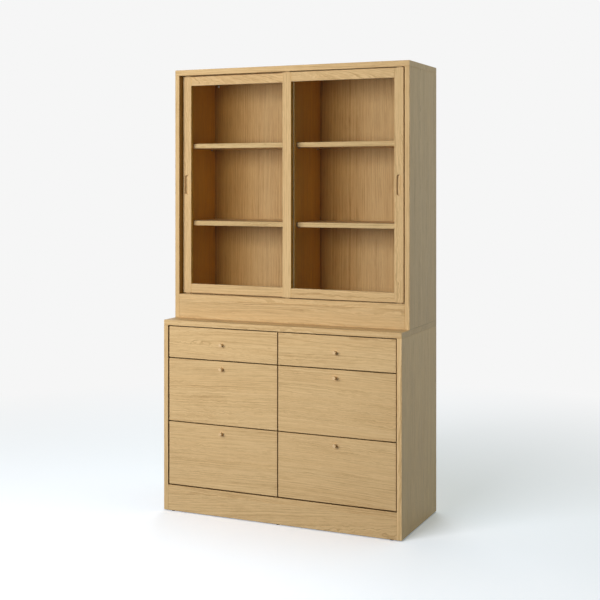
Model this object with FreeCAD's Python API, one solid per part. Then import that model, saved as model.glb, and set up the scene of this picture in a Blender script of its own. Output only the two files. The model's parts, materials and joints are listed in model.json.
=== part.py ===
import FreeCAD, Part
import os

# Oak cupboard in two stacked cases. The low case holds six drawers in two columns. The upper case
# is shallower, flush at the back, and has two framed glass doors that slide past each other.
# Millimetres, +Z up, the front faces -Y. The origin is on the floor, midway along the width and
# midway between the faces of the knobs and the back edges of the sides.

# Both cases
cabinet_width = 1050
lower_height = 794
lower_depth = 440
upper_height = 1052
upper_depth = 347
edge_ease = 1
cut_overrun = 1

# Boards of the cases
side_thickness = 20
lower_top_thickness = 22
upper_top_thickness = 23.5
deck_thickness = 22
divider_thickness = 20
plinth_thickness = 20
rear_rail_thickness = 20
lower_plinth_height = 84
upper_plinth_height = 79

# Back panels, held in grooves of the sides
back_thickness = 5
back_inset = 20
back_groove_depth = 6
panel_clearance = 0.2

# Glides under the plinth and the rear rail
glide_radius = 8
glide_height = 3
glide_end_distance = 22

# Dowels that locate the upper case, one in each side
dowel_radius = 4
dowel_length = 30
dowel_clearance = 0.1
dowel_end_room = 1

# Drawer fronts
front_thickness = 20
front_inset = 3
front_gap = 4
shallow_front_height = 129
front_clearance = 0.3

# Drawer boxes
box_side_thickness = 14
box_back_thickness = 12
box_rise = 12
box_headroom = 18
box_side_gap = 1.5
box_rear_gap = 20
box_back_inset = 8
bottom_thickness = 5
bottom_rise = 8
bottom_groove_depth = 6

# Drawer runners, which stand in grooves of the box sides
runner_height = 16
runner_thickness = 8.5
runner_front_gap = 5
runner_rear_gap = 12
runner_clearance = 0.3
runner_side_clearance = 0.5
runner_height_share = 0.5

# Knobs, turned, with the foot flat on the drawer front
knob_length = 20
knob_head_radius = 6.75
knob_neck_radius = 5
knob_head_depth = 12
knob_rim_ease = 0.5
deep_knob_drop = 30.5

# Sliding doors, guided by tongues. The gap above them lets them be lifted out of the sill grooves.
door_recess = 5
door_thickness = 20
door_spacing = 4
left_door_gap = 3
right_door_gap = 6
door_edge_gap = 3.5
door_overlap = 43
frame_width = 38.5
tongue_thickness = 8
tongue_length = 20
tongue_side_clearance = 0.5
sill_groove_depth = 3.5
head_groove_depth = 12
head_engagement = 7
running_clearance = 0.3

# Glass, held in grooves of the door frames, with stub tenons of the rails in the same grooves
glass_thickness = 4
glass_groove_depth = 8
glass_clearance = 0.2
glass_edge_clearance = 0.3
tenon_margin = 8
tenon_clearance = 0.1

# Finger pulls let into the outer stiles
pull_width = 20
pull_height = 83
pull_depth = 8

# Shelves on pins
shelf_thickness = 20
shelf_setback = 58
shelf_end_clearance = 0.5
shelf_back_clearance = 1
lower_shelf_rise = 310
upper_shelf_rise = 639
pin_radius = 2.5
pin_projection = 8
pin_insert = 10
pin_end_distance = 35
pin_clearance = 0.1
divider_door_gap = 4

# Caps over the wall fixing screws, in the top corners of the upper back panel
cap_radius = 5
cap_thickness = 2
cap_side_distance = 19
cap_top_distance = 24

full_turn = 360
Vector = FreeCAD.Vector

# Levels and planes that the pieces share
knob_stand = knob_length - front_inset
front_y = (knob_stand - lower_depth) / 2
back_y = front_y + lower_depth
upper_front_y = back_y - upper_depth
panel_rear_y = back_y - back_inset
panel_front_y = panel_rear_y - back_thickness
outer_x = cabinet_width / 2
inner_x = outer_x - side_thickness
divider_x = divider_thickness / 2
lower_bottom = glide_height
lower_deck_top = lower_bottom + lower_plinth_height + deck_thickness
lower_top_top = lower_bottom + lower_height
lower_top_under = lower_top_top - lower_top_thickness
upper_deck_top = lower_top_top + upper_plinth_height + deck_thickness
upper_top_top = lower_top_top + upper_height
upper_top_under = upper_top_top - upper_top_thickness

nodes = {}


def block(x_span, y_span, z_span):
    corner = Vector(x_span[0], y_span[0], z_span[0])
    size_x = x_span[1] - x_span[0]
    size_y = y_span[1] - y_span[0]
    size_z = z_span[1] - z_span[0]
    return Part.makeBox(size_x, size_y, size_z, corner)


def board(x_span, y_span, z_span):
    solid = block(x_span, y_span, z_span)
    return solid.makeChamfer(edge_ease, solid.Edges)


def rod(radius, start, end):
    return Part.makeCylinder(radius, (end - start).Length, start, end - start)


def around(middle, half):
    return (middle - half, middle + half)


def mirrored(shape, middle_x=0):
    return shape.mirror(Vector(middle_x, 0, 0), Vector(1, 0, 0))


def line(start, end):
    return Part.LineSegment(start, end).toShape()


def arc(start, middle, end):
    return Part.Arc(start, middle, end).toShape()


def turned(outline, axis):
    profile = Part.Face(Part.makePolygon(outline + outline[:1]))
    return profile.revolve(Vector(0, 0, 0), axis, full_turn)


# A case side has the groove of the back panel, and the other side is its mirror image
def case_side(case_front, bottom, deck_top, top_under):
    solid = board((-outer_x, -inner_x), (case_front, back_y), (bottom, top_under))
    groove_x = (-inner_x - back_groove_depth, -inner_x + cut_overrun)
    groove_y = (panel_front_y - panel_clearance, panel_rear_y + panel_clearance)
    groove_z = (deck_top - panel_clearance, top_under + cut_overrun)
    return solid.cut(block(groove_x, groove_y, groove_z))


def back_panel(deck_top, top_under):
    reach = inner_x + back_groove_depth - panel_clearance
    return block((-reach, reach), (panel_front_y, panel_rear_y), (deck_top, top_under))


def under_deck(case_front, bottom, plinth_height):
    x_span = (-inner_x, inner_x)
    plinth_top = bottom + plinth_height
    plinth_y = (case_front, case_front + plinth_thickness)
    rear_rail_y = (panel_rear_y - rear_rail_thickness, panel_rear_y)
    plinth = board(x_span, plinth_y, (bottom, plinth_top))
    rear_rail = block(x_span, rear_rail_y, (bottom, plinth_top))
    deck = board(x_span, (case_front, panel_rear_y), (plinth_top, plinth_top + deck_thickness))
    return plinth, rear_rail, deck


# A glide is a flat disc
def glide(x, y):
    return rod(glide_radius, Vector(x, y, 0), Vector(x, y, glide_height))


# Low case
glide_end_x = inner_x - glide_end_distance
glide_columns = (-glide_end_x, 0, glide_end_x)
plinth_middle_y = front_y + plinth_thickness / 2
rear_rail_middle_y = panel_rear_y - rear_rail_thickness / 2
lower_side = case_side(front_y, lower_bottom, lower_deck_top, lower_top_under)
lower_plinth, lower_rear_rail, lower_deck = under_deck(front_y, lower_bottom, lower_plinth_height)
nodes["glides"] = []
for x in glide_columns:
    nodes["glides"] += [glide(x, plinth_middle_y), glide(x, rear_rail_middle_y)]
nodes["lower_side_left"] = [lower_side]
nodes["lower_side_right"] = [mirrored(lower_side)]
nodes["lower_plinth"] = [lower_plinth]
nodes["lower_rear_rail"] = [lower_rear_rail]
nodes["lower_deck"] = [lower_deck]
nodes["lower_back"] = [back_panel(lower_deck_top, lower_top_under)]

# The divider stands just behind the closed drawer fronts and stops them
front_face_y = front_y + front_inset
front_rear_y = front_face_y + front_thickness
lower_divider_y = (front_rear_y + front_clearance, panel_front_y)
lower_divider_z = (lower_deck_top, lower_top_under)
nodes["lower_divider"] = [block((-divider_x, divider_x), lower_divider_y, lower_divider_z)]

# Dowels stand half in holes of the low case's top and half in holes of the upper sides
lower_top = board((-outer_x, outer_x), (front_y, back_y), (lower_top_under, lower_top_top))
upper_side = case_side(upper_front_y, lower_top_top, upper_deck_top, upper_top_under)
dowel_x = outer_x - side_thickness / 2
dowel_y = (upper_front_y + back_y) / 2


def dowel(x, radius, half):
    return rod(radius, Vector(x, dowel_y, lower_top_top - half), Vector(x, dowel_y, lower_top_top + half))


nodes["stacking_dowels"] = []
for x in (-dowel_x, dowel_x):
    hole = dowel(x, dowel_radius + dowel_clearance, dowel_length / 2 + dowel_end_room)
    lower_top = lower_top.cut(hole)
    upper_side = upper_side.cut(hole)
    nodes["stacking_dowels"].append(dowel(x, dowel_radius, dowel_length / 2))
nodes["lower_top"] = [lower_top]

# Upper case: the doors run in two grooves of the deck and in two deeper ones of the top
right_door_y = (upper_front_y + door_recess, upper_front_y + door_recess + door_thickness)
left_door_y = (right_door_y[1] + door_spacing, right_door_y[1] + door_spacing + door_thickness)
upper_plinth, upper_rear_rail, upper_deck = under_deck(upper_front_y, lower_top_top, upper_plinth_height)
upper_top = board((-outer_x, outer_x), (upper_front_y, back_y), (upper_top_under, upper_top_top))
sill_x = (-inner_x - cut_overrun, inner_x + cut_overrun)
sill_z = (upper_deck_top - sill_groove_depth, upper_deck_top + cut_overrun)
head_z = (upper_top_under - cut_overrun, upper_top_under + head_groove_depth)
for door_y in (right_door_y, left_door_y):
    groove_y = around(sum(door_y) / 2, tongue_thickness / 2 + tongue_side_clearance)
    upper_deck = upper_deck.cut(block(sill_x, groove_y, sill_z))
    upper_top = upper_top.cut(block((-inner_x, inner_x), groove_y, head_z))
nodes["upper_plinth"] = [upper_plinth]
nodes["upper_rear_rail"] = [upper_rear_rail]
nodes["upper_deck"] = [upper_deck]
nodes["upper_top"] = [upper_top]

cap_x = inner_x - cap_side_distance
cap_z = upper_top_under - cap_top_distance
nodes["upper_back"] = [back_panel(upper_deck_top, upper_top_under)]
nodes["wall_fixing_caps"] = []
for x in (-cap_x, cap_x):
    face = Vector(x, panel_front_y - cap_thickness, cap_z)
    nodes["wall_fixing_caps"].append(rod(cap_radius, face, Vector(x, panel_front_y, cap_z)))

# Shelves lie on pins. Those in the sides stand in blind holes, those in the divider pass through it
# and carry the shelves on both hands.
upper_divider_y = (left_door_y[1] + divider_door_gap, panel_front_y)
upper_divider = board((-divider_x, divider_x), upper_divider_y, (upper_deck_top, upper_top_under))
shelf_x = (-inner_x + shelf_end_clearance, -divider_x - shelf_end_clearance)
shelf_y = (upper_front_y + shelf_setback, panel_front_y - shelf_back_clearance)
hole_radius = pin_radius + pin_clearance
side_pin_x = (-inner_x - pin_insert, -inner_x + pin_projection)
divider_pin_x = around(0, divider_x + pin_projection)

nodes["shelf_pins"] = []
for name, rise in (("lower", lower_shelf_rise), ("upper", upper_shelf_rise)):
    shelf_top = upper_deck_top + rise
    shelf_under = shelf_top - shelf_thickness
    shelf = board(shelf_x, shelf_y, (shelf_under, shelf_top))
    nodes["shelf_left_" + name] = [shelf]
    nodes["shelf_right_" + name] = [mirrored(shelf)]
    pin_z = shelf_under - pin_radius - pin_clearance
    for y in (shelf_y[0] + pin_end_distance, shelf_y[1] - pin_end_distance):
        hole_start = Vector(-inner_x - pin_insert - pin_clearance, y, pin_z)
        hole_end = Vector(-inner_x + cut_overrun, y, pin_z)
        upper_side = upper_side.cut(rod(hole_radius, hole_start, hole_end))
        divider_start = Vector(-divider_x - cut_overrun, y, pin_z)
        divider_end = Vector(divider_x + cut_overrun, y, pin_z)
        upper_divider = upper_divider.cut(rod(hole_radius, divider_start, divider_end))
        side_pin = rod(pin_radius, Vector(side_pin_x[0], y, pin_z), Vector(side_pin_x[1], y, pin_z))
        divider_pin = rod(pin_radius, Vector(divider_pin_x[0], y, pin_z), Vector(divider_pin_x[1], y, pin_z))
        nodes["shelf_pins"] += [side_pin, mirrored(side_pin), divider_pin]
nodes["upper_side_left"] = [upper_side]
nodes["upper_side_right"] = [mirrored(upper_side)]
nodes["upper_divider"] = [upper_divider]

# Sliding doors: the left one is drawn, and the right one is its mirror image, one track forward.
# The stiles run the full height, the rails stand between them, and a tongue at each end of a stile
# runs in a groove.
door_width = inner_x + (door_overlap - left_door_gap - right_door_gap) / 2
door_x = (-inner_x + left_door_gap, -inner_x + left_door_gap + door_width)
door_z = (upper_deck_top + door_edge_gap, upper_top_under - door_edge_gap)
door_middle_x = sum(door_x) / 2
door_middle_y = sum(left_door_y) / 2
clear_x = (door_x[0] + frame_width, door_x[1] - frame_width)
clear_z = (door_z[0] + frame_width, door_z[1] - frame_width)
tongue_y = around(door_middle_y, tongue_thickness / 2)
sill_tongue_z = (upper_deck_top - sill_groove_depth + running_clearance, door_z[0] + frame_width / 2)
head_tongue_z = (door_z[1] - frame_width / 2, upper_top_under + head_engagement)
slot_y = around(door_middle_y, glass_thickness / 2 + glass_clearance)

stile_x = (door_x[0], clear_x[0])
tongue_x = around(sum(stile_x) / 2, tongue_length / 2)
stile_slot_x = (clear_x[0] - glass_groove_depth, clear_x[0] + cut_overrun)
stile_slot_z = (door_z[0] + tenon_margin, door_z[1] - tenon_margin)
stile = board(stile_x, left_door_y, door_z)
stile = stile.fuse([block(tongue_x, tongue_y, sill_tongue_z), block(tongue_x, tongue_y, head_tongue_z)])
stile = stile.removeSplitter().cut(block(stile_slot_x, slot_y, stile_slot_z))


def rail(rail_z, slot_z, tenon_z):
    tenon_reach = glass_groove_depth - tenon_clearance
    tenon_y = (slot_y[0] + tenon_clearance, slot_y[1] - tenon_clearance)
    tenon_x = (clear_x[0] - tenon_reach, clear_x[1] + tenon_reach)
    solid = board(clear_x, left_door_y, rail_z)
    solid = solid.fuse(block(tenon_x, tenon_y, tenon_z)).removeSplitter()
    return solid.cut(block(clear_x, slot_y, slot_z))


sill_slot_z = (clear_z[0] - glass_groove_depth, clear_z[0] + cut_overrun)
sill_tenon_z = (stile_slot_z[0] + tenon_clearance, sill_slot_z[0])
head_slot_z = (clear_z[1] - cut_overrun, clear_z[1] + glass_groove_depth)
head_tenon_z = (head_slot_z[1], stile_slot_z[1] - tenon_clearance)
bottom_rail = rail((door_z[0], clear_z[0]), sill_slot_z, sill_tenon_z)
top_rail = rail((clear_z[1], door_z[1]), head_slot_z, head_tenon_z)

glass_reach = glass_groove_depth - glass_edge_clearance
glass_x = (clear_x[0] - glass_reach, clear_x[1] + glass_reach)
glass_z = (clear_z[0] - glass_reach, clear_z[1] + glass_reach)
glass = block(glass_x, around(door_middle_y, glass_thickness / 2), glass_z)


# A finger pull is an upright oblong recess with round ends
def pull_recess(middle_x, middle_z, face_y):
    radius = pull_width / 2
    straight = pull_height / 2 - radius
    y = face_y - cut_overrun
    left_low = Vector(middle_x - radius, y, middle_z - straight)
    left_high = Vector(middle_x - radius, y, middle_z + straight)
    right_low = Vector(middle_x + radius, y, middle_z - straight)
    right_high = Vector(middle_x + radius, y, middle_z + straight)
    top = Vector(middle_x, y, middle_z + straight + radius)
    bottom = Vector(middle_x, y, middle_z - straight - radius)
    edges = [line(left_low, left_high), arc(left_high, top, right_high)]
    edges += [line(right_high, right_low), arc(right_low, bottom, left_low)]
    return Part.Face(Part.Wire(edges)).extrude(Vector(0, cut_overrun + pull_depth, 0))


outer_stile = stile.cut(pull_recess(sum(stile_x) / 2, sum(door_z) / 2, left_door_y[0]))
inner_stile = mirrored(stile, door_middle_x)
left_door = {
    "left_door_left_stile": outer_stile,
    "left_door_right_stile": inner_stile,
    "left_door_top_rail": top_rail,
    "left_door_bottom_rail": bottom_rail,
    "left_door_glass": glass,
}
right_door_names = {
    "left_door_left_stile": "right_door_right_stile",
    "left_door_right_stile": "right_door_left_stile",
    "left_door_top_rail": "right_door_top_rail",
    "left_door_bottom_rail": "right_door_bottom_rail",
    "left_door_glass": "right_door_glass",
}
for name, piece in left_door.items():
    nodes[name] = [piece]
    twin = mirrored(piece)
    twin.translate(Vector(left_door_gap - right_door_gap, right_door_y[0] - left_door_y[0], 0))
    nodes[right_door_names[name]] = [twin]


# A knob has a neck, a wider head and an eased rim, all turned from one blank
def knob(x, z):
    neck_end = knob_head_depth - knob_length
    outline = [
        Vector(0, 0, 0),
        Vector(knob_neck_radius, 0, 0),
        Vector(knob_neck_radius, neck_end, 0),
        Vector(knob_head_radius, neck_end, 0),
        Vector(knob_head_radius, knob_rim_ease - knob_length, 0),
        Vector(knob_head_radius - knob_rim_ease, -knob_length, 0),
        Vector(0, -knob_length, 0),
    ]
    solid = turned(outline, Vector(0, 1, 0))
    solid.translate(Vector(x, front_face_y, z))
    return solid


# Drawers: the left column is drawn, and the right column is its mirror image
space_x = (-inner_x, -divider_x)
front_x = (-inner_x + front_gap, -front_gap / 2)
box_x = (space_x[0] + box_side_gap, space_x[1] - box_side_gap)
box_inner_x = (box_x[0] + box_side_thickness, box_x[1] - box_side_thickness)
box_y = (front_rear_y, panel_front_y - box_rear_gap)
box_back_rear = box_y[1] - box_back_inset
box_back_y = (box_back_rear - box_back_thickness, box_back_rear)
runner_y = (front_rear_y + runner_front_gap, panel_front_y - runner_rear_gap)
runner_groove_depth = runner_thickness + runner_side_clearance - box_side_gap
bottom_reach = bottom_groove_depth - panel_clearance
bottom_x = (box_inner_x[0] - bottom_reach, box_inner_x[1] + bottom_reach)
bottom_y = (front_rear_y - bottom_reach, box_y[1])
bottom_groove_x = (box_inner_x[0] - bottom_groove_depth, box_inner_x[1] + bottom_groove_depth)
bottom_groove_y = (front_rear_y - bottom_groove_depth, front_rear_y + cut_overrun)
knob_x = sum(front_x) / 2


def drawer_front(z_span, bottom_groove_z):
    solid = board(front_x, (front_face_y, front_rear_y), z_span)
    return solid.cut(block(bottom_groove_x, bottom_groove_y, bottom_groove_z))


def drawer_box(box_z, bottom_groove_z, bottom_top, runner_z):
    groove_z = (runner_z[0] - runner_clearance, runner_z[1] + runner_clearance)
    runner_groove_x = (box_x[0] - cut_overrun, box_x[0] + runner_groove_depth)
    side_groove_x = (box_inner_x[0] - bottom_groove_depth, box_inner_x[0] + cut_overrun)
    cut_y = (box_y[0] - cut_overrun, box_y[1] + cut_overrun)
    outer_side = block((box_x[0], box_inner_x[0]), box_y, box_z)
    outer_side = outer_side.cut(block(runner_groove_x, cut_y, groove_z))
    outer_side = outer_side.cut(block(side_groove_x, cut_y, bottom_groove_z))
    inner_side = mirrored(outer_side, sum(box_x) / 2)
    back = block(box_inner_x, box_back_y, (bottom_top, box_z[1]))
    return [outer_side, inner_side, back]


deep_front_height = (lower_top_under - lower_deck_top - shallow_front_height - 4 * front_gap) / 2
nodes["drawer_runners"] = []
front_low = lower_deck_top + front_gap
for row, front_height in (
    ("bottom", deep_front_height),
    ("middle", deep_front_height),
    ("top", shallow_front_height),
):
    front_z = (front_low, front_low + front_height)
    knob_drop = front_height / 2 if row == "top" else deep_knob_drop
    knob_z = front_z[1] - knob_drop
    box_z = (front_z[0] + box_rise, front_z[1] - box_headroom)
    bottom_z = (box_z[0] + bottom_rise, box_z[0] + bottom_rise + bottom_thickness)
    bottom_groove_z = (bottom_z[0] - panel_clearance, bottom_z[1] + panel_clearance)
    runner_middle = box_z[0] + (box_z[1] - box_z[0]) * runner_height_share
    runner_z = around(runner_middle, runner_height / 2)
    drawer = {
        "front": [drawer_front(front_z, bottom_groove_z)],
        "box": drawer_box(box_z, bottom_groove_z, bottom_z[1], runner_z),
        "bottom": [block(bottom_x, bottom_y, bottom_z)],
        "knob": [knob(knob_x, knob_z)],
    }
    for piece, solids in drawer.items():
        nodes["drawer_" + row + "_left_" + piece] = solids
        nodes["drawer_" + row + "_right_" + piece] = [mirrored(solid) for solid in solids]
    side_runner = block((space_x[0], space_x[0] + runner_thickness), runner_y, runner_z)
    divider_runner = mirrored(side_runner, sum(space_x) / 2)
    for runner in (side_runner, divider_runner):
        nodes["drawer_runners"] += [runner, mirrored(runner)]
    front_low = front_z[1] + front_gap

os.makedirs("parts", exist_ok=True)
for name, solids in nodes.items():
    shape = solids[0] if len(solids) == 1 else Part.makeCompound(solids)
    shape.exportStep("parts/" + name + ".step")
    print(name, len(shape.Solids), "solid(s), valid", shape.isValid(), round(shape.Volume), "mm3")
print(len(nodes), "nodes, door travel", inner_x * 2 - left_door_gap - right_door_gap - door_width)
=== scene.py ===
import json
import math

import bmesh
import bpy
from mathutils import Matrix, Vector

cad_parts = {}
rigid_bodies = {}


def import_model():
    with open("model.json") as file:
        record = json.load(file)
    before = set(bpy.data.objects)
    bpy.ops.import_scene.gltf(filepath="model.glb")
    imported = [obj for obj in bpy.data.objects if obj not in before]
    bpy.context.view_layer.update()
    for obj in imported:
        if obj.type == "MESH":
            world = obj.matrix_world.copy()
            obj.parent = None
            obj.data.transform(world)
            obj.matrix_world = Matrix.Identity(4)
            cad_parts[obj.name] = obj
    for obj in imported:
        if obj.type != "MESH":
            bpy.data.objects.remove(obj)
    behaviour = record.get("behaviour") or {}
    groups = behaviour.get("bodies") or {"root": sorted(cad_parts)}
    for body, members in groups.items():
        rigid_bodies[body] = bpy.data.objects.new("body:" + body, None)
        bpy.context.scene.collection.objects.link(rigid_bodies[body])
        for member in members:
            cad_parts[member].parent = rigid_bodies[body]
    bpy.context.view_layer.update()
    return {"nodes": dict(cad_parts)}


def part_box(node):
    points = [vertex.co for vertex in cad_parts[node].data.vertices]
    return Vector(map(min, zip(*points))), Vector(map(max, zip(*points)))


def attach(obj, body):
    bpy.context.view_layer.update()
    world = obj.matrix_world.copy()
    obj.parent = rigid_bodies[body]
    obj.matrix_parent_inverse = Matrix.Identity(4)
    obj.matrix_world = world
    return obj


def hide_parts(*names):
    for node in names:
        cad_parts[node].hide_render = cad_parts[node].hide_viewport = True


for leftover in list(bpy.data.objects):
    bpy.data.objects.remove(leftover)

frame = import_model()
nodes = frame["nodes"]

closeBy = 1e-6  # metres, points nearer than this are one
sharpAngle = math.radians(35)  # steeper edges of new pieces stay crisp
noiseSteps = (3.1, 1.7, 2.3)  # how far a seed of 1 moves a noise


# Small helpers for colours and node trees
def srgb(red, green, blue):
    def toLinear(value):
        value /= 255
        return value / 12.92 if value <= 0.04045 else ((value + 0.055) / 1.055) ** 2.4
    return (toLinear(red), toLinear(green), toLinear(blue), 1.0)


def newFinish(name):
    material = bpy.data.materials.new(name)
    material.use_nodes = True
    material.node_tree.nodes.clear()
    return material, material.node_tree


def addNode(tree, kind, inputs=None, **settings):
    node = tree.nodes.new(kind)
    for key, value in settings.items():
        setattr(node, key, value)
    for key, value in (inputs or {}).items():
        if isinstance(value, bpy.types.NodeSocket):
            tree.links.new(value, node.inputs[key])
        else:
            node.inputs[key].default_value = value
    return node


def objectCoords(tree):
    return addNode(tree, "ShaderNodeTexCoord").outputs["Object"]


def splitXyz(tree, vector):
    return addNode(tree, "ShaderNodeSeparateXYZ", {"Vector": vector}).outputs


def mathNode(tree, operation, first, second=0.0, third=0.0):
    return addNode(tree, "ShaderNodeMath", {0: first, 1: second, 2: third}, operation=operation).outputs[0]


def vectorNode(tree, operation, first, second=(0, 0, 0), third=(0, 0, 0)):
    node = addNode(tree, "ShaderNodeVectorMath", {0: first, 1: second, 2: third}, operation=operation)
    return node.outputs["Value" if operation == "LENGTH" else "Vector"]


def mixColour(tree, factor, first, second, blend="MIX"):
    sockets = {0: factor, 6: first, 7: second}
    return addNode(tree, "ShaderNodeMix", sockets, data_type="RGBA", blend_type=blend).outputs[2]


def mapRange(tree, value, fromLow, fromHigh, toLow, toHigh):
    spans = {"Value": value, "From Min": fromLow, "From Max": fromHigh, "To Min": toLow, "To Max": toHigh}
    return addNode(tree, "ShaderNodeMapRange", spans).outputs["Result"]


def stretchedNoise(tree, vector, stretch, seed, detail=2.0, roughness=0.5, output="Fac"):
    place = [seed * step for step in noiseSteps]
    moved = addNode(tree, "ShaderNodeMapping", {"Vector": vector, "Location": place, "Scale": stretch})
    settings = {"Vector": moved.outputs[0], "Scale": 1.0, "Detail": detail, "Roughness": roughness}
    return addNode(tree, "ShaderNodeTexNoise", settings).outputs[output]


def stepRamp(tree, factor, stops):
    ramp = addNode(tree, "ShaderNodeValToRGB", {"Fac": factor})
    elements = ramp.color_ramp.elements
    while len(elements) < len(stops):
        elements.new(0.5)
    for element, (position, level) in zip(elements, stops):
        element.position = position
        element.color = (level, level, level, 1)
    return ramp.outputs["Color"]


def bumpNode(tree, height, strength, distance):
    settings = {"Height": height, "Strength": strength, "Distance": distance}
    return addNode(tree, "ShaderNodeBump", settings).outputs[0]


def mixShaders(tree, factor, first, second):
    settings = {0: factor, 1: first.outputs[0], 2: second.outputs[0]}
    return addNode(tree, "ShaderNodeMixShader", settings)


def showShader(tree, shader, output="ShaderNodeOutputMaterial"):
    addNode(tree, output, {"Surface": shader.outputs[0]})


def dress(piece, material):
    if not piece.material_slots:
        piece.data.materials.append(material)
    for slot in piece.material_slots:
        slot.material = material


# Woods: growth rings round a heart line, broken and wandering, with streaks and pores along the grain
oak = {
    "late": (220, 187, 137), "early": (166, 128, 80), "light": (229, 198, 149), "warm": (209, 169, 116),
    "pore": (126, 92, 52),
    "ring": 0.008, "ringSpread": 2.2, "ringDepth": 0.68, "wander": 0.03, "wobble": 0.015, "streak": 0.22,
    "poreDepth": 0.5, "poreStretch": (60, 1500, 1500), "rough": (0.42, 0.58), "bump": 0.3, "coat": 0.12,
}
backVeneer = dict(
    oak, late=(203, 168, 120), early=(146, 106, 58), light=(213, 178, 131), warm=(186, 141, 90),
    ring=0.0105, ringSpread=2.4, ringDepth=0.75, wander=0.02, wobble=0.002)
knobOak = dict(
    oak, late=(234, 202, 156), early=(216, 178, 128), light=(236, 206, 162), warm=(222, 184, 134),
    ring=0.003)
paleWood = {
    "late": (226, 205, 168), "early": (205, 178, 136), "light": (232, 213, 180), "warm": (214, 186, 144),
    "pore": (178, 146, 104),
    "ring": 0.006, "ringSpread": 1.6, "ringDepth": 0.6, "wander": 0.02, "wobble": 0.002, "streak": 0.3,
    "poreDepth": 0.3, "poreStretch": (40, 900, 900), "rough": (0.55, 0.7), "bump": 0.15, "coat": 0.0,
}
beech = {
    "late": (214, 176, 134), "early": (196, 154, 112), "light": (218, 182, 142), "warm": (204, 158, 116),
    "pore": (158, 110, 70),
    "ring": 0.004, "ringSpread": 1.0, "ringDepth": 0.35, "wander": 0.008, "wobble": 0.001, "streak": 0.2,
    "poreDepth": 0.55, "poreStretch": (420, 1600, 1600), "rough": (0.45, 0.6), "bump": 0.2, "coat": 0.0,
}

# The figure that all woods share
figure = {
    "noises": {  # stretched along the grain and across it
        "slowBend": {"seed": 0, "stretch": (1.4, 8, 8), "output": "Color"},
        "fibre": {"seed": 1, "stretch": (5, 420, 420), "detail": 3.0, "roughness": 0.6},
        "drift": {"seed": 2, "stretch": (1.1, 18, 18), "detail": 3.0},
        "pores": {"seed": 3, "detail": 1.0},
        "patches": {"seed": 4, "stretch": (3, 18, 18)},
        "quickBend": {"seed": 5, "stretch": (28, 40, 40), "output": "Color"},
        "streaks": {"seed": 6, "stretch": (12, 230, 230), "roughness": 0.6},
        "dashes": {"seed": 7, "stretch": (20, 330, 330)},
        "bands": {"seed": 8, "stretch": (0.9, 13, 13)},
    },
    "levels": {  # the part of a noise that counts, then what it is turned into
        "bands": (0.48, 0.64, 0.1, 1.0), "patches": (0.36, 0.6, 0.2, 1.0), "dashes": (0.42, 0.6, 0.45, 1.0),
        "pores": (0.58, 0.7, 0.0, 1.0), "drift": (0.35, 0.75, 0.0, 0.25), "streaks": (0.48, 0.64),
        "fibre": (0.3, 0.7),
    },
    "growth": 60.0,  # changes of the ring width per metre
    "earlyStops": [(0.0, 0.0), (0.07, 1.0), (0.24, 0.7), (0.45, 0.08), (1.0, 0.0)],
    "denseStops": [(0.0, 0.3), (0.06, 0.0), (0.55, 0.0), (0.9, 0.8), (1.0, 0.3)],
    "latePores": 0.25, "fibreShades": (0.95, 1.05),
    "poreGroove": 1.0, "earlyGroove": 0.35, "grooveDepth": 0.0004, "coatRough": 0.3, "specular": 0.3,
}


def logTurn(grain, tilt, twist):
    turns = {
        "x": Matrix.Identity(3),
        "y": Matrix.Rotation(math.pi / 2, 3, "Z"),
        "z": Matrix.Rotation(-math.pi / 2, 3, "Y"),
    }
    lean = Matrix.Rotation(math.radians(tilt), 3, "Y") @ Matrix.Rotation(math.radians(twist), 3, "Z")
    return (turns[grain] @ lean).to_euler()


def logCoords(tree, coords, places, heart, turn, crossSpan):
    along = {"Vector": coords, "Location": heart, "Rotation": turn}
    inLog = addNode(tree, "ShaderNodeMapping", along, vector_type="TEXTURE").outputs[0]
    if not crossSpan:
        return inLog
    across = {"Vector": coords, "Location": heart}  # the board between these X values has its grain along X
    inCross = addNode(tree, "ShaderNodeMapping", across, vector_type="TEXTURE").outputs[0]
    start, end = crossSpan
    between = mathNode(tree, "COMPARE", places["X"], (start + end) / 2, (end - start) / 2)
    sockets = {"Factor": between, 4: inLog, 5: inCross}
    return addNode(tree, "ShaderNodeMix", sockets, data_type="VECTOR").outputs[1]


# Painted shade: the front of the panel is darker and warmer towards the left end of each bay, where the case
# side and the door stile shade it
def paintBayShade(tree, colour, places, bayShade):
    across = mathNode(tree, "MULTIPLY_ADD", places["X"], 1 / bayShade["width"], 1.0)
    bayShadeShare = mapRange(tree, mathNode(tree, "FRACT", across), bayShade["fullShadeTo"], bayShade["shadeEndsAt"], 1.0, 0.0)
    bayShadeShare = mathNode(tree, "MULTIPLY", bayShadeShare, mathNode(tree, "LESS_THAN", places["Y"], bayShade["before"]))
    return mixColour(tree, bayShadeShare, colour, bayShade["tone"], "MULTIPLY")


# Painted shade: each listed face, in front of a given depth, gets its shade tone multiplied in
def paintFaceShade(tree, colour, places, paintedShades):
    for axis, place, tone, depth, before in paintedShades:
        onFace = mathNode(tree, "COMPARE", places[axis], place, depth)
        inFront = mathNode(tree, "LESS_THAN", places["Y"], before)
        colour = mixColour(tree, mathNode(tree, "MULTIPLY", onFace, inFront), colour, tone, "MULTIPLY")
    return colour


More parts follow.
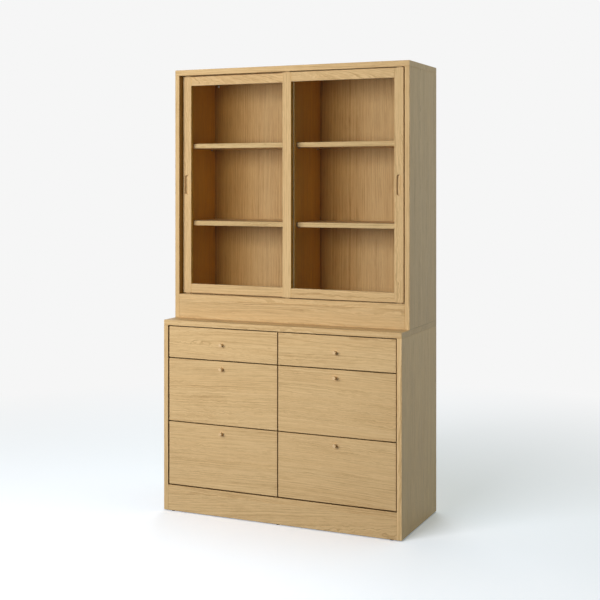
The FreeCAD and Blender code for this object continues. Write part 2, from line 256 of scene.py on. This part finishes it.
def woodFinish(name, wood, heart, turn, seed, crossSpan=None, paintedShades=(), shade=1.0, bayShade=None):
    material, tree = newFinish(name)
    coords = objectCoords(tree)
    places = splitXyz(tree, coords)
    inLog = logCoords(tree, coords, places, heart, turn, crossSpan)
    levels = figure["levels"]

    def noise(kind, vector, **changes):
        look = dict(figure["noises"][kind], **changes)
        return stretchedNoise(tree, vector, look.pop("stretch"), seed + look.pop("seed"), **look)

    # The grain wanders slowly all over and ripples quickly in bands
    wander, wobble = wood["wander"], wood["wobble"]
    bent = vectorNode(tree, "MULTIPLY_ADD", noise("slowBend", inLog), (0, wander, wander), inLog)
    rippled = mapRange(tree, noise("bands", inLog), *levels["bands"])
    quickBend = vectorNode(tree, "MULTIPLY", noise("quickBend", inLog), rippled)
    bent = vectorNode(tree, "MULTIPLY_ADD", quickBend, (0, wobble, wobble), bent)
    radius = vectorNode(tree, "LENGTH", vectorNode(tree, "MULTIPLY", bent, (0, 1, 1)))

    # Ring widths vary, each ring starts with a dark porous line and fades into pale late wood
    alongRadius = {"W": mathNode(tree, "MULTIPLY_ADD", radius, figure["growth"], seed)}
    growth = addNode(tree, "ShaderNodeTexNoise", alongRadius, noise_dimensions="1D").outputs["Fac"]
    evenRings = mathNode(tree, "DIVIDE", radius, wood["ring"])
    rings = mathNode(tree, "MULTIPLY_ADD", growth, wood["ringSpread"], evenRings)
    ringPlace = mathNode(tree, "FRACT", rings)
    early = stepRamp(tree, ringPlace, figure["earlyStops"])
    dense = stepRamp(tree, ringPlace, figure["denseStops"])
    early = mathNode(tree, "MULTIPLY", early, mapRange(tree, noise("patches", inLog), *levels["patches"]))
    dashes = mapRange(tree, noise("dashes", inLog), *levels["dashes"])
    early = mathNode(tree, "MULTIPLY", early, dashes)  # the early wood is rows of open vessels

    fibre = noise("fibre", inLog)
    streaks = mapRange(tree, noise("streaks", bent), *levels["streaks"], 0.0, wood["streak"])
    drift = mapRange(tree, noise("drift", inLog), *levels["drift"])
    pores = mapRange(tree, noise("pores", inLog, stretch=wood["poreStretch"]), *levels["pores"])
    latePores = figure["latePores"]
    openness = mathNode(tree, "MULTIPLY_ADD", early, 1 - latePores, latePores)
    pores = mathNode(tree, "MULTIPLY", pores, openness)

    layers = [
        (dense, "light"),
        (mathNode(tree, "MULTIPLY", early, wood["ringDepth"]), "early"),
        (streaks, "early"),
        (drift, "warm"),
        (mathNode(tree, "MULTIPLY", pores, wood["poreDepth"]), "pore"),
    ]
    colour = srgb(*wood["late"])
    for share, tint in layers:
        colour = mixColour(tree, share, colour, srgb(*wood[tint]))
    shades = [level * shade for level in figure["fibreShades"]]
    fibreShade = mapRange(tree, fibre, *levels["fibre"], *shades)
    colour = addNode(tree, "ShaderNodeHueSaturation", {"Color": colour, "Value": fibreShade}).outputs[0]
    # painted shade: the bays of the back panel, then the listed faces
    if bayShade:
        colour = paintBayShade(tree, colour, places, bayShade)
    colour = paintFaceShade(tree, colour, places, paintedShades)

    height = mathNode(tree, "MULTIPLY_ADD", pores, -figure["poreGroove"], fibre)
    height = mathNode(tree, "MULTIPLY_ADD", early, -figure["earlyGroove"], height)
    shader = addNode(tree, "ShaderNodeBsdfPrincipled", {
        "Base Color": colour, "Roughness": mapRange(tree, fibre, *levels["fibre"], *wood["rough"]),
        "Normal": bumpNode(tree, height, wood["bump"], figure["grooveDepth"]),
        "Coat Weight": wood["coat"], "Coat Roughness": figure["coatRough"],
        "Specular IOR Level": figure["specular"],
    })
    showShader(tree, shader)
    return material


# Boards: crown cut shows arches of rings, rift cut runs straight
boards = {
    "crown": ["front", "plinth"],  # the heart lies close behind them, and aside by shares of their width
    "crownDepth": 0.06, "crownSpread": 0.05, "crownAside": (0.6, 0.9), "crownTilt": 6.0,
    "rift": 0.32, "riftInwards": 0.8, "riftTilt": 1.8,  # the heart lies far aside
    "arched": "top_rail",  # the log leans, so narrow rails show arches one after another
    "railDepth": 0.048, "railSpread": 0.02, "railAside": 0.4, "railTilt": 7.0,
    "twist": 0.7, "spreadStep": 0.618, "seedStep": 0.73,  # each board comes from another place in the log
    # Each board's brightness: small differences between boards, and a lighter lower right side that stands
    # in for light bounced onto that side
    "shades": {
        "upper_side_right": 1.02, "lower_side_right": 1.14, "upper_plinth": 0.93, "upper_back": 0.975,
        "upper_top": 1.03,
    },
    # painted shade on the back panel's front, darkest at the left end of each bay
    "bayShade": {  # the panel between the divider and this side
        "panel": "upper_back", "side": "upper_side_right",
        "fullShadeTo": 0.04, "shadeEndsAt": 0.5, "tone": (0.87, 0.66, 0.28, 1),
    },
    "boxSide": 0.0142,  # a hair more than the sides of a drawer box
}

# Faces that differ from the show faces, all by painted shade: the warm hue of shade on the upper case's
# inner faces, darkening in the gaps, and a shade line along the joint between the cases
faceDepth = 0.0003
shadedFaceGroups = {
    # painted shade: inner faces that face away from the key lamp get the warm, blue-less hue of shade
    "shadedInside": {
        "tone": (1.15, 0.98, 0.28, 1), "depth": faceDepth, "inFrontOf": "upper_back",
        "faces": {
            "upper_side_left": [("x", "high")], "upper_divider": [("x", "high")],
            "left_door_right_stile": [("x", "high")], "left_door_left_stile": [("x", "high")],
            "right_door_left_stile": [("x", "high")],
        },
    },
    # a milder painted shade hue on the inner faces that the key lamp reaches
    "insideLit": {
        "tone": (1.02, 0.94, 0.68, 1), "depth": faceDepth, "inFrontOf": "upper_back",
        "faces": {"upper_side_right": [("x", "low")], "upper_divider": [("x", "low")]},
    },
    # painted shade: the edges of the drawer fronts and the right door's outer edge are darkened so the gaps
    # round them look dark
    "edges": {
        "tone": (0.49, 0.41, 0.27, 1), "depth": faceDepth, "inFrontOf": None,
        "faces": {
            "front": [("x", "low"), ("x", "high"), ("z", "low"), ("z", "high")],
            "right_door_right_stile": [("x", "high")],
        },
    },
    # painted shade: the lower left side's inner face and the deck's top, as far back as the drawer fronts,
    # are darkened as gap shade
    "drawerGapShade": {
        "tone": (0.32, 0.25, 0.15, 1), "depth": faceDepth, "inFrontOf": "drawer_bottom_left_front",
        "faces": {"lower_side_left": [("x", "high")], "lower_deck": [("z", "high")]},
    },
    # painted shade: the upper left side's inner face, the top's underside and the deck's top, in front of
    # the rear door, are darkened as gap shade
    "doorGapShade": {
        "tone": (0.45, 0.38, 0.28, 1), "depth": faceDepth, "inFrontOf": "left_door_left_stile",
        "faces": {
            "upper_side_left": [("x", "high")], "upper_top": [("z", "low")], "upper_deck": [("z", "high")],
        },
    },
    # painted shade: a dark line along the bottom edge of each upper side, the shade of the joint where the
    # upper case sits on the lower case
    "jointShadeLine": {
        "tone": (0.6, 0.58, 0.55, 1), "depth": 0.0014, "inFrontOf": None,
        "faces": {"upper_side_right": [("z", "low")], "upper_side_left": [("z", "low")]},
    },
}


def faceShadeTones(name, low, high):
    corners = {"low": low, "high": high}
    paintedShades = []
    for group in shadedFaceGroups.values():
        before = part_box(group["inFrontOf"])[1].y if group["inFrontOf"] else high.y + 1  # or the whole face
        faces = group["faces"].get(name) or group["faces"].get(name.split("_")[-1], [])
        for axis, end in faces:
            paintedShades.append((axis.upper(), getattr(corners[end], axis), group["tone"], group["depth"], before))
    return paintedShades


def boardFinish(name, wood, order, grain=None, crossSpan=None):
    low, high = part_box(name)
    size = high - low
    spans = sorted("xyz", key=lambda axis: getattr(size, axis))
    grain = grain or spans[2]
    thick, wide = [axis for axis in spans if axis != grain]
    width = getattr(size, wide)
    spread = (order * boards["spreadStep"]) % 1.0
    side = 1 if order % 2 else -1
    if name.endswith(boards["arched"]):
        inwards = boards["railDepth"] + boards["railSpread"] * spread
        aside = (spread - 0.5) * boards["railAside"] * width
        lean = boards["railTilt"]
    elif name.split("_")[-1] in boards["crown"]:
        near, far = boards["crownAside"]
        inwards = boards["crownDepth"] + boards["crownSpread"] * spread
        aside = side * (near + (far - near) * spread) * width
        lean = boards["crownTilt"] * (spread - 0.5)
    else:
        aside = boards["rift"] * (1 + spread)
        inwards = side * boards["riftInwards"] * aside
        lean = boards["riftTilt"] * (spread - 0.5)
    middle = (low + high) / 2
    heart = middle.copy()
    setattr(heart, thick, getattr(heart, thick) + inwards)
    setattr(heart, wide, getattr(heart, wide) + aside)
    turn = logTurn(grain, lean, lean * boards["twist"])
    bayShade = None
    if name == boards["bayShade"]["panel"]:
        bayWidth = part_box(boards["bayShade"]["side"])[0].x - middle.x
        bayShade = dict(boards["bayShade"], width=bayWidth, before=middle.y)  # only on the front of the panel
    paintedShades = faceShadeTones(name, low, high)
    shade = boards["shades"].get(name, 1.0)
    seed = order * boards["seedStep"]
    return woodFinish("wood_" + name, wood, heart, turn, seed, crossSpan, paintedShades, shade, bayShade)


# Wood and grain by the last word of a node's name, and oak along the longest side for the rest
woodOf = {
    "runners": (beech, "y"), "dowels": (beech, "z"), "box": (paleWood, "y"), "bottom": (paleWood, "x"),
    "back": (backVeneer, "z"),
}
notWood = ["glass", "pins", "glides", "caps"]
for order, (name, piece) in enumerate(sorted(nodes.items())):
    kind = name.split("_")[-1]
    if kind in notWood:
        continue
    wood, grain = woodOf.get(kind, (oak, None))
    crossSpan = None
    if kind == "box":
        low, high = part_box(name)
        crossSpan = (low.x + boards["boxSide"], high.x - boards["boxSide"])
    dress(piece, boardFinish(name, wood, order, grain, crossSpan))
print("boards finished")

# Glass lets light through to the shelves and keeps a faint sheen
glass = {
    "tint": (0.985, 0.995, 0.99, 1), "ior": 1.45,
    "smear": (0.45, 0.8, 0.0, 0.02), "smearStretch": (9, 9, 4), "smearSeed": 2.0,
    "ripple": 0.02, "rippleHeight": 0.001, "rippleStretch": (3, 3, 1.5), "rippleSeed": 4.0,
}


def glassFinish():
    material, tree = newFinish("clear_glass")
    coords = objectCoords(tree)
    smear = stretchedNoise(tree, coords, glass["smearStretch"], glass["smearSeed"], detail=3.0)
    ripple = stretchedNoise(tree, coords, glass["rippleStretch"], glass["rippleSeed"])
    pane = addNode(tree, "ShaderNodeBsdfPrincipled", {
        "Base Color": glass["tint"], "Transmission Weight": 1.0, "IOR": glass["ior"],
        "Roughness": mapRange(tree, smear, *glass["smear"]),
        "Normal": bumpNode(tree, ripple, glass["ripple"], glass["rippleHeight"]),
    })
    clear = addNode(tree, "ShaderNodeBsdfTransparent", {"Color": glass["tint"]})
    path = addNode(tree, "ShaderNodeLightPath").outputs
    straight = mathNode(tree, "MAXIMUM", path["Is Shadow Ray"], path["Is Diffuse Ray"])  # light isn't bent
    showShader(tree, mixShaders(tree, straight, pane, clear))
    return material


# Fittings: zinc plated steel and moulded plastic
fittings = {
    "zinc_steel": {
        "pale": (205, 207, 206), "dark": (168, 171, 172), "metallic": 1.0, "rough": (0.28, 0.42),
        "fineness": 900, "bump": 0.1,
    },
    "dark_plastic": {
        "pale": (48, 46, 43), "dark": (34, 33, 31), "metallic": 0.0, "rough": (0.5, 0.65),
        "fineness": 1200, "bump": 0.3,
    },
    "white_plastic": {
        "pale": (238, 236, 230), "dark": (228, 226, 219), "metallic": 0.0, "rough": (0.4, 0.5),
        "fineness": 700, "bump": 0.1,
    },
}
speckle = {
    "seed": 1.0, "detail": 4.0, "roughness": 0.65, "height": 0.0002,
    "colourSpan": (0.35, 0.65), "roughSpan": (0.3, 0.7),
}


def speckledFinish(name):
    look = fittings[name]
    material, tree = newFinish(name)
    specks = stretchedNoise(tree, objectCoords(tree), (look["fineness"],) * 3, speckle["seed"],
                            detail=speckle["detail"], roughness=speckle["roughness"])
    share = mapRange(tree, specks, *speckle["colourSpan"], 0.0, 1.0)
    shader = addNode(tree, "ShaderNodeBsdfPrincipled", {
        "Base Color": mixColour(tree, share, srgb(*look["dark"]), srgb(*look["pale"])),
        "Metallic": look["metallic"],
        "Roughness": mapRange(tree, specks, *speckle["roughSpan"], *look["rough"]),
        "Normal": bumpNode(tree, specks, look["bump"], speckle["height"]),
    })
    showShader(tree, shader)
    return material


clearGlass = glassFinish()
zincSteel = speckledFinish("zinc_steel")
dress(nodes["left_door_glass"], clearGlass)
dress(nodes["right_door_glass"], clearGlass)
dress(nodes["shelf_pins"], zincSteel)
dress(nodes["glides"], speckledFinish("dark_plastic"))
dress(nodes["wall_fixing_caps"], speckledFinish("white_plastic"))
print("glass and fittings finished")


def newPiece(name, mesh, material, body):
    data = bpy.data.meshes.new(name)
    mesh.to_mesh(data)
    mesh.free()
    data.set_sharp_from_angle(angle=sharpAngle)
    piece = bpy.data.objects.new(name, data)
    bpy.context.scene.collection.objects.link(piece)
    dress(piece, material)
    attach(piece, body)
    return piece


def roundEdges(mesh, edges, offset, segments):
    bmesh.ops.bevel(mesh, geom=edges, offset=offset, offset_type="OFFSET", affect="EDGES",
                    segments=segments, profile=0.5, material=-1)


# Knobs, turned on the lathe: a waisted neck flares into a head with a rounded rim
knob = {
    "outline": [  # shares of the radius and of the length, from the drawer front outwards
        (0.0, 0.0), (0.78, 0.0), (0.74, 0.09), (0.74, 0.19), (0.78, 0.28), (0.87, 0.35), (0.96, 0.40),
        (1.0, 0.46), (1.0, 1.0), (0.0, 1.0),
    ],
    "turns": 56, "rim": 0.0014, "rimFrom": 0.98, "rimSegments": 5,
    "heart": (0.012, 0, 0.02), "tilt": 2, "twist": 1, "seedStep": 1.9,
}


def turnedKnob(body, order):
    node = body + "_knob"
    low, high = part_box(node)
    middle = (low + high) / 2
    radius = (high.x - low.x) / 2
    mesh = bmesh.new()
    outline = [
        mesh.verts.new((middle.x + radius * reach, high.y - (high.y - low.y) * along, middle.z))
        for reach, along in knob["outline"]
    ]
    edges = [mesh.edges.new(pair) for pair in zip(outline, outline[1:])]
    bmesh.ops.spin(mesh, geom=outline + edges, cent=middle, axis=(0, 1, 0), angle=math.tau,
                   steps=knob["turns"], use_merge=True)
    bmesh.ops.remove_doubles(mesh, verts=mesh.verts, dist=closeBy)

    def onRim(vert):
        return abs(vert.co.y - low.y) < closeBy and (vert.co - middle).xz.length > radius * knob["rimFrom"]

    rim = [edge for edge in mesh.edges if all(onRim(vert) for vert in edge.verts)]
    roundEdges(mesh, rim, knob["rim"], knob["rimSegments"])
    bmesh.ops.recalc_face_normals(mesh, faces=mesh.faces)
    for face in mesh.faces:
        face.smooth = True
    turn = logTurn("y", knob["tilt"], knob["twist"])
    heart = middle + Vector(knob["heart"])
    finish = woodFinish("wood_" + node, knobOak, heart, turn, order * knob["seedStep"])
    piece = newPiece(node + "_turned", mesh, finish, body)
    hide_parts(node)


drawers = [f"drawer_{row}_{column}" for row in ("bottom", "middle", "top") for column in ("left", "right")]
for order, drawer in enumerate(drawers):
    turnedKnob(drawer, order)
print("knobs turned:", len(drawers))

# Cross-head screws hold the back panels to the dividers and the knobs to the fronts
screw = {
    "radius": 0.0037, "height": 0.0017, "rim": 0.0007, "rimSegments": 4, "turns": 28,
    "slotWidth": 0.0011, "slotReach": 0.0022, "slotDepth": 0.001, "panelShares": (0.08, 0.36, 0.64, 0.92),
}


def screwHead():
    mesh = bmesh.new()
    radius, top = screw["radius"], screw["height"]
    bmesh.ops.create_cone(mesh, cap_ends=True, segments=screw["turns"],
                          radius1=radius, radius2=radius, depth=top)
    bmesh.ops.translate(mesh, verts=mesh.verts, vec=(0, 0, top / 2))
    rim = [edge for edge in mesh.edges if all(vert.co.z > top - closeBy for vert in edge.verts)]
    roundEdges(mesh, rim, screw["rim"], screw["rimSegments"])

    def flatTop():
        return [face for face in mesh.faces if face.calc_center_median().z > top - closeBy]

    half, reach = screw["slotWidth"] / 2, screw["slotReach"]
    for axis in (Vector((1, 0, 0)), Vector((0, 1, 0))):
        for offset in (-reach, -half, half, reach):  # the cuts outline the cross
            faces = flatTop()
            geom = list({part for face in faces for part in (face, *face.edges, *face.verts)})
            bmesh.ops.bisect_plane(mesh, geom=geom, plane_co=axis * offset, plane_no=axis)

    def inCross(face):
        near, far = sorted(abs(value) for value in face.calc_center_median().xy)
        return near < half and far < reach

    sunk = bmesh.ops.extrude_face_region(mesh, geom=[face for face in flatTop() if inCross(face)])
    floorVerts = [part for part in sunk["geom"] if isinstance(part, bmesh.types.BMVert)]
    bmesh.ops.translate(mesh, verts=floorVerts, vec=(0, 0, -screw["slotDepth"]))
    rearwards = Matrix.Rotation(-math.pi / 2, 3, "X")  # heads face the rear
    bmesh.ops.rotate(mesh, verts=mesh.verts, matrix=rearwards)
    bmesh.ops.recalc_face_normals(mesh, faces=mesh.faces)
    return mesh


def screwRow(name, places, body):
    head = screwHead()
    pattern = bpy.data.meshes.new(name + "_pattern")
    head.to_mesh(pattern)
    head.free()
    mesh = bmesh.new()
    for place in places:
        before = len(mesh.verts)
        mesh.from_mesh(pattern)
        bmesh.ops.translate(mesh, verts=list(mesh.verts)[before:], vec=place)
    bpy.data.meshes.remove(pattern)
    newPiece(name, mesh, zincSteel, body)


for panel in ("lower_back", "upper_back"):
    low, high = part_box(panel)
    places = [(0, high.y, low.z + (high.z - low.z) * share) for share in screw["panelShares"]]
    screwRow(panel + "_screws", places, "carcass")
for drawer in drawers:
    low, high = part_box(drawer + "_knob")
    place = ((low.x + high.x) / 2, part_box(drawer + "_front")[1].y, (low.z + high.z) / 2)
    screwRow(drawer + "_knob_screw", [place], drawer)
print("screws driven")

# Floor: pale to look at but bounces little light, keeps the shadow and fades into the background
floor = {
    "radius": 4.5, "segments": 96, "drop": 0.0005,
    "seenColour": (1.31, 1.365, 1.50, 1), "bounceColour": (0.10, 0.10, 0.10, 1),
    "fade": (0.8, 3.2, 0.15, 1.0),  # metres from the middle, then the share of the background
    "dimStart": 1.6,
}
# Background: white to the camera, dim to the front for mirrors and light, with a fill from the right rear
background = {
    "white": (246, 246, 246), "turn": 0.35, "mirrored": (0.05, 1.0),
    "ambient": (0.05, 0.52), "ambientColour": (0.91, 1.0, 0.9, 1),
    "fill": {  # from the right, from behind and from low down
        "X": (0.2, 0.8, 0.0, 0.66), "Y": (-0.1, 0.2, 0.0, 1.0), "Z": (0.3, 0.7, 1.0, 0.0),
    },
}


def cameraLike(tree):
    path = addNode(tree, "ShaderNodeLightPath").outputs
    seen = mathNode(tree, "MAXIMUM", path["Is Camera Ray"], path["Is Glossy Ray"])
    return mathNode(tree, "MAXIMUM", seen, path["Is Transmission Ray"])


def fullForCamera(tree, level):
    return mathNode(tree, "MAXIMUM", addNode(tree, "ShaderNodeLightPath").outputs["Is Camera Ray"], level)


def floorFinish():
    material, tree = newFinish("pale_floor")
    coords = objectCoords(tree)
    seen = cameraLike(tree)
    paint = mixColour(tree, seen, floor["bounceColour"], floor["seenColour"])
    matt = addNode(tree, "ShaderNodeBsdfDiffuse", {"Color": paint})
    farthest, full = background["mirrored"]
    ahead = splitXyz(tree, coords)["Y"]
    mirrored = mapRange(tree, ahead, -floor["radius"], -floor["dimStart"], farthest, full)
    white = {"Color": srgb(*background["white"]), "Strength": fullForCamera(tree, mirrored)}
    glow = addNode(tree, "ShaderNodeEmission", white)
    fade = mapRange(tree, vectorNode(tree, "LENGTH", coords), *floor["fade"])
    showShader(tree, mixShaders(tree, mathNode(tree, "MULTIPLY", seen, fade), matt, glow))
    return material


def makeFloor():
    mesh = bmesh.new()
    bmesh.ops.create_circle(mesh, cap_ends=True, radius=floor["radius"], segments=floor["segments"])
    bmesh.ops.translate(mesh, verts=mesh.verts, vec=(0, 0, -floor["drop"]))
    data = bpy.data.meshes.new("floor")
    mesh.to_mesh(data)
    mesh.free()
    piece = bpy.data.objects.new("floor", data)
    bpy.context.scene.collection.objects.link(piece)
    dress(piece, floorFinish())


def makeWorld():
    world = bpy.data.worlds.new("studio")
    world.use_nodes = True
    tree = world.node_tree
    tree.nodes.clear()
    ways = splitXyz(tree, addNode(tree, "ShaderNodeTexCoord").outputs["Generated"])
    turn = background["turn"]
    ambient = mapRange(tree, ways["Y"], -turn, turn, *background["ambient"])
    mirrored = mapRange(tree, ways["Y"], -turn, turn, *background["mirrored"])
    fill = {axis: mapRange(tree, ways[axis], *span) for axis, span in background["fill"].items()}
    lowRear = mathNode(tree, "MULTIPLY", fill["Y"], fill["Z"])
    ambient = mathNode(tree, "MULTIPLY_ADD", fill["X"], lowRear, ambient)
    lighting = {"Color": background["ambientColour"], "Strength": ambient}
    light = addNode(tree, "ShaderNodeBackground", lighting)
    white = {"Color": srgb(*background["white"]), "Strength": fullForCamera(tree, mirrored)}
    backdrop = addNode(tree, "ShaderNodeBackground", white)
    showShader(tree, mixShaders(tree, cameraLike(tree), light, backdrop), "ShaderNodeOutputWorld")
    bpy.context.scene.world = world


# Soft lamps: a broad low one from the front left, a weak one behind
lamps = {
    "key": {"place": (-0.94, -3.38, 1.8), "aim": (0, 0, 1.0), "size": (2.6, 1.6), "power": 128},
    "behind": {"place": (-1.6, 4.2, 2.6), "aim": (0, 0.2, 0.9), "size": (2.4, 2.0), "power": 50},
}


def makeLamp(name, lamp):
    light = bpy.data.lights.new(name, "AREA")
    light.shape = "RECTANGLE"
    light.size, light.size_y = lamp["size"]
    light.energy = lamp["power"]
    piece = bpy.data.objects.new(name, light)
    piece.location = lamp["place"]
    aim = Vector(lamp["aim"]) - Vector(lamp["place"])
    piece.rotation_euler = aim.to_track_quat("-Z", "Y").to_euler()
    piece.visible_camera = piece.visible_glossy = piece.visible_transmission = False  # no lamp in the panes
    bpy.context.scene.collection.objects.link(piece)


# Camera: level, right of the front, with the picture shifted down to hold the whole cupboard
view = {
    "place": (1.971, -4.3865, 1.377), "tilt": 90, "turn": 24.1435,
    "lens": 69.176, "sensor": 36, "shift": -0.198,
}


def makeCamera():
    data = bpy.data.cameras.new("camera")
    data.sensor_width = view["sensor"]
    data.lens = view["lens"]
    data.shift_y = view["shift"]
    piece = bpy.data.objects.new("camera", data)
    piece.location = view["place"]
    piece.rotation_euler = (math.radians(view["tilt"]), 0, math.radians(view["turn"]))
    bpy.context.scene.collection.objects.link(piece)
    bpy.context.scene.camera = piece


makeFloor()
makeWorld()
for lampName, lampLook in lamps.items():
    makeLamp(lampName, lampLook)
makeCamera()
bpy.context.scene.view_settings.view_transform = "Standard"
print("floor, lamps and camera placed")
